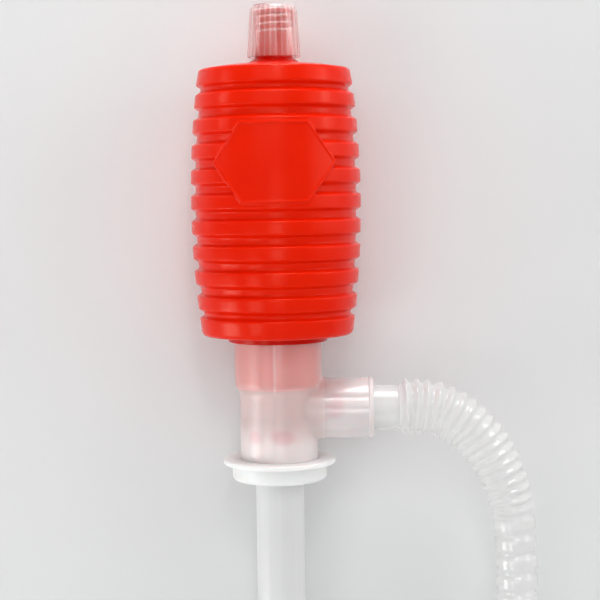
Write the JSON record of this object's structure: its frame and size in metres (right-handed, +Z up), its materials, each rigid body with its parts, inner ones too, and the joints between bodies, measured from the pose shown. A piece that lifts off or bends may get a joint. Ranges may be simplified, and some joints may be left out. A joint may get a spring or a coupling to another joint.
{
  "type": "hand siphon pump",
  "caption": "Hand siphon pump: ribbed squeeze bulb on a T-shaped valve body with flap valves, collar, suction pipe and corrugated outlet hose.",
  "frame": {"origin": "on the pump's axis, at the underside of the collar's flange, which rests on the rim of the container", "axes": "+Z up along the pump's axis towards the vent cap, +X towards the outlet branch, -Y towards the bulb's six-sided panel"},
  "size_m": [0.1398, 0.0683, 0.5761],
  "materials": {
    "bulb": "soft moulded polyethylene, satin",
    "cap": "clear, finely ribbed",
    "liner": "foam disc",
    "valve_body": "translucent polyethylene",
    "valve_seat": "milky polyethylene",
    "flap": "soft red sheet",
    "pin": "plain",
    "collar": "milky polyethylene, satin",
    "pipe": "milky translucent polyethylene",
    "foot": "milky polyethylene",
    "hose": "clear corrugated hose",
    "hose_cuff": "clear smooth cuff"
  },
  "bodies": {
    "pump": {"bulb": "bulb", "valve_body": "valve_body", "suction_valve_seat": "valve_seat", "suction_flap_pin": "pin", "discharge_valve_seat": "valve_seat", "discharge_flap_pin": "pin", "collar": "collar", "suction_pipe": "pipe", "foot_strainer": "foot", "hose": "hose", "hose_inlet_cuff": "hose_cuff", "hose_end_cuff": "hose_cuff"},
    "cap_seal": {"cap_liner": "liner"},
    "cap": {"vent_cap": "cap"},
    "suction_flap": {"suction_flap": "flap"},
    "discharge_flap": {"discharge_flap": "flap"}
  },
  "joints": [
    {"name": "vent_cap_lift", "type": "slide", "parent": "pump", "child": "cap_seal", "axis": [0, 0, 1], "range_m": [0, 0.0076]},
    {"name": "vent_cap_turn", "type": "hinge", "parent": "cap_seal", "child": "cap", "pos_m": [0, 0, 0.1624], "axis": [0, 0, 1], "range_deg": [0, 1080]},
    {"name": "suction_flap_swing", "type": "hinge", "parent": "pump", "child": "suction_flap", "pos_m": [-0.00982, 0, 0.0131], "axis": [0, -1, 0], "range_deg": [0, 45]},
    {"name": "discharge_flap_swing", "type": "hinge", "parent": "pump", "child": "discharge_flap", "pos_m": [0.0201, 0, 0.029], "axis": [0, -1, 0], "range_deg": [0, 50]}
  ],
  "couplings": [
    {"joint": "vent_cap_lift", "follows": "vent_cap_turn", "m_per_rad": 0.00039789}
  ]
}
